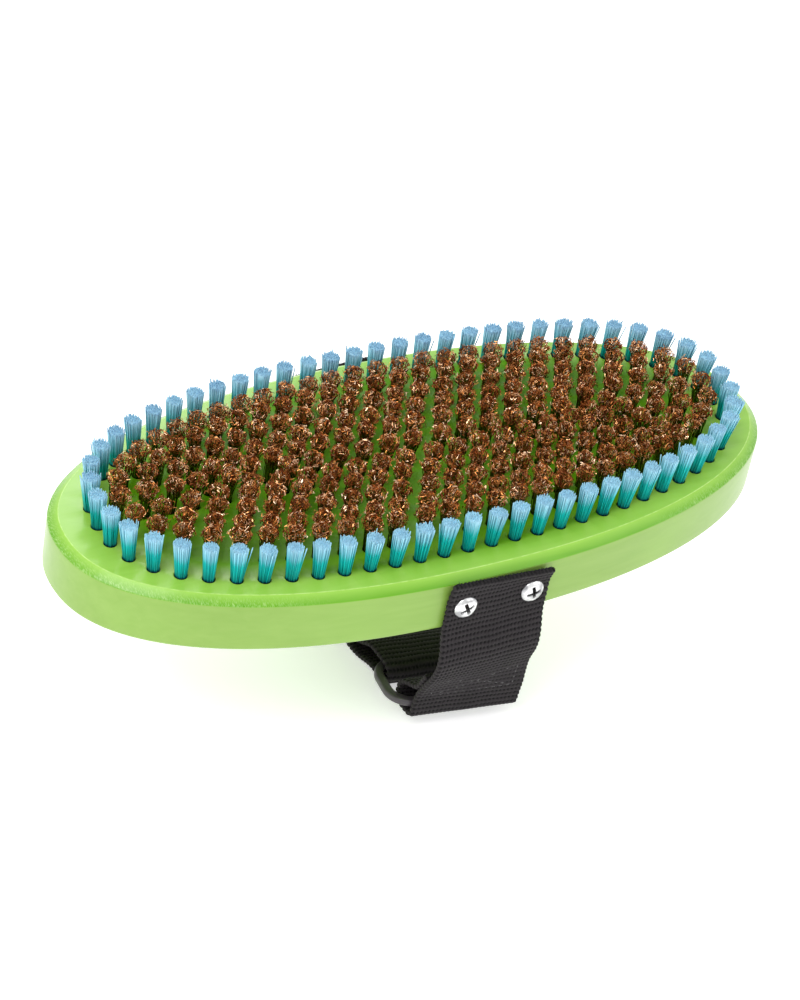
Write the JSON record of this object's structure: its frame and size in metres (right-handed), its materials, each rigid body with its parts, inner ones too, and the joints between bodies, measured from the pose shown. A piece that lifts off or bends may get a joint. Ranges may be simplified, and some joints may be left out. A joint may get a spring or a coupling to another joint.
{
  "type": "oval grooming brush",
  "caption": "Oval wooden grooming brush with a ring of blue nylon tufts round a copper wire field, and an adjustable black webbing hand strap.",
  "frame": {"origin": "on the ground plane under the middle of the block; the brush lies bristles up on its hand strap", "axes": "+X along the block's long axis, +Y across the block from the ring side to the plain side of the strap, +Z out of the bristle face"},
  "size_m": [0.205, 0.0968, 0.0665],
  "materials": {
    "green_lacquered_wood": "lime green gloss lacquer over fine-grained wood",
    "blue_nylon": "nylon filaments, teal at the root and light blue at the tip",
    "copper_wire": "fine crimped copper-coloured wire",
    "staple_wire": "bare wire",
    "black_webbing": "ribbed polypropylene webbing",
    "black_thread": "sewing thread",
    "hook_tape": "hook tape",
    "loop_tape": "loop tape",
    "dark_grey_plastic": "moulded, semi-gloss",
    "bright_steel": "bright zinc plate"
  },
  "bodies": {
    "brush_block": {"wooden_block": "green_lacquered_wood", "nylon_tufts_outer_ring": "blue_nylon", "copper_tufts_ring_1": "copper_wire", "copper_tufts_ring_2": "copper_wire", "copper_tufts_ring_3": "copper_wire", "copper_tufts_ring_4": "copper_wire", "copper_tufts_ring_5": "copper_wire", "copper_tufts_centre_row": "copper_wire", "nylon_tuft_staples": "staple_wire", "copper_tuft_staples": "staple_wire", "front_strap_anchor_end": "black_webbing", "front_strap_screws": "bright_steel", "rear_strap_anchor_end": "black_webbing", "rear_strap_screws": "bright_steel"},
    "front_strap": {"front_strap_hanging_part": "black_webbing", "hem_box_stitching": "black_thread"},
    "adjuster_ring": {"oval_ring": "dark_grey_plastic"},
    "rear_strap": {"rear_strap_hand_loop": "black_webbing", "loop_patch": "loop_tape", "loop_patch_stitching": "black_thread"},
    "strap_tail": {"rear_strap_tail_end": "black_webbing", "hook_patch": "hook_tape", "hook_patch_stitching": "black_thread"}
  },
  "joints": [
    {"name": "rear_strap_bend", "type": "hinge", "parent": "brush_block", "child": "rear_strap", "pos_m": [0, 0.04625, 0.0393], "axis": [1, 0, 0], "range_deg": [-2.4, 0.8], "stiffness_Nm_per_rad": 7},
    {"name": "front_strap_bend", "type": "hinge", "parent": "brush_block", "child": "front_strap", "pos_m": [0, -0.04625, 0.0393], "axis": [1, 0, 0], "range_deg": [-3, 1], "stiffness_Nm_per_rad": 1.5},
    {"name": "ring_swivel", "type": "hinge", "parent": "front_strap", "child": "adjuster_ring", "pos_m": [0, -0.0385, 0.0066], "axis": [0.9877, -0.1564, 0], "range_deg": [-4.6, 13.8]},
    {"name": "tail_peel", "type": "hinge", "parent": "rear_strap", "child": "strap_tail", "pos_m": [0, -0.0205, 0.0085], "axis": [0.9877, -0.1564, 0], "range_deg": [0, 30]}
  ],
  "couplings": [
    {"joint": "front_strap_bend", "follows": "rear_strap_bend", "ratio": 1.25},
    {"joint": "ring_swivel", "follows": "rear_strap_bend", "ratio": -5.709}
  ]
}
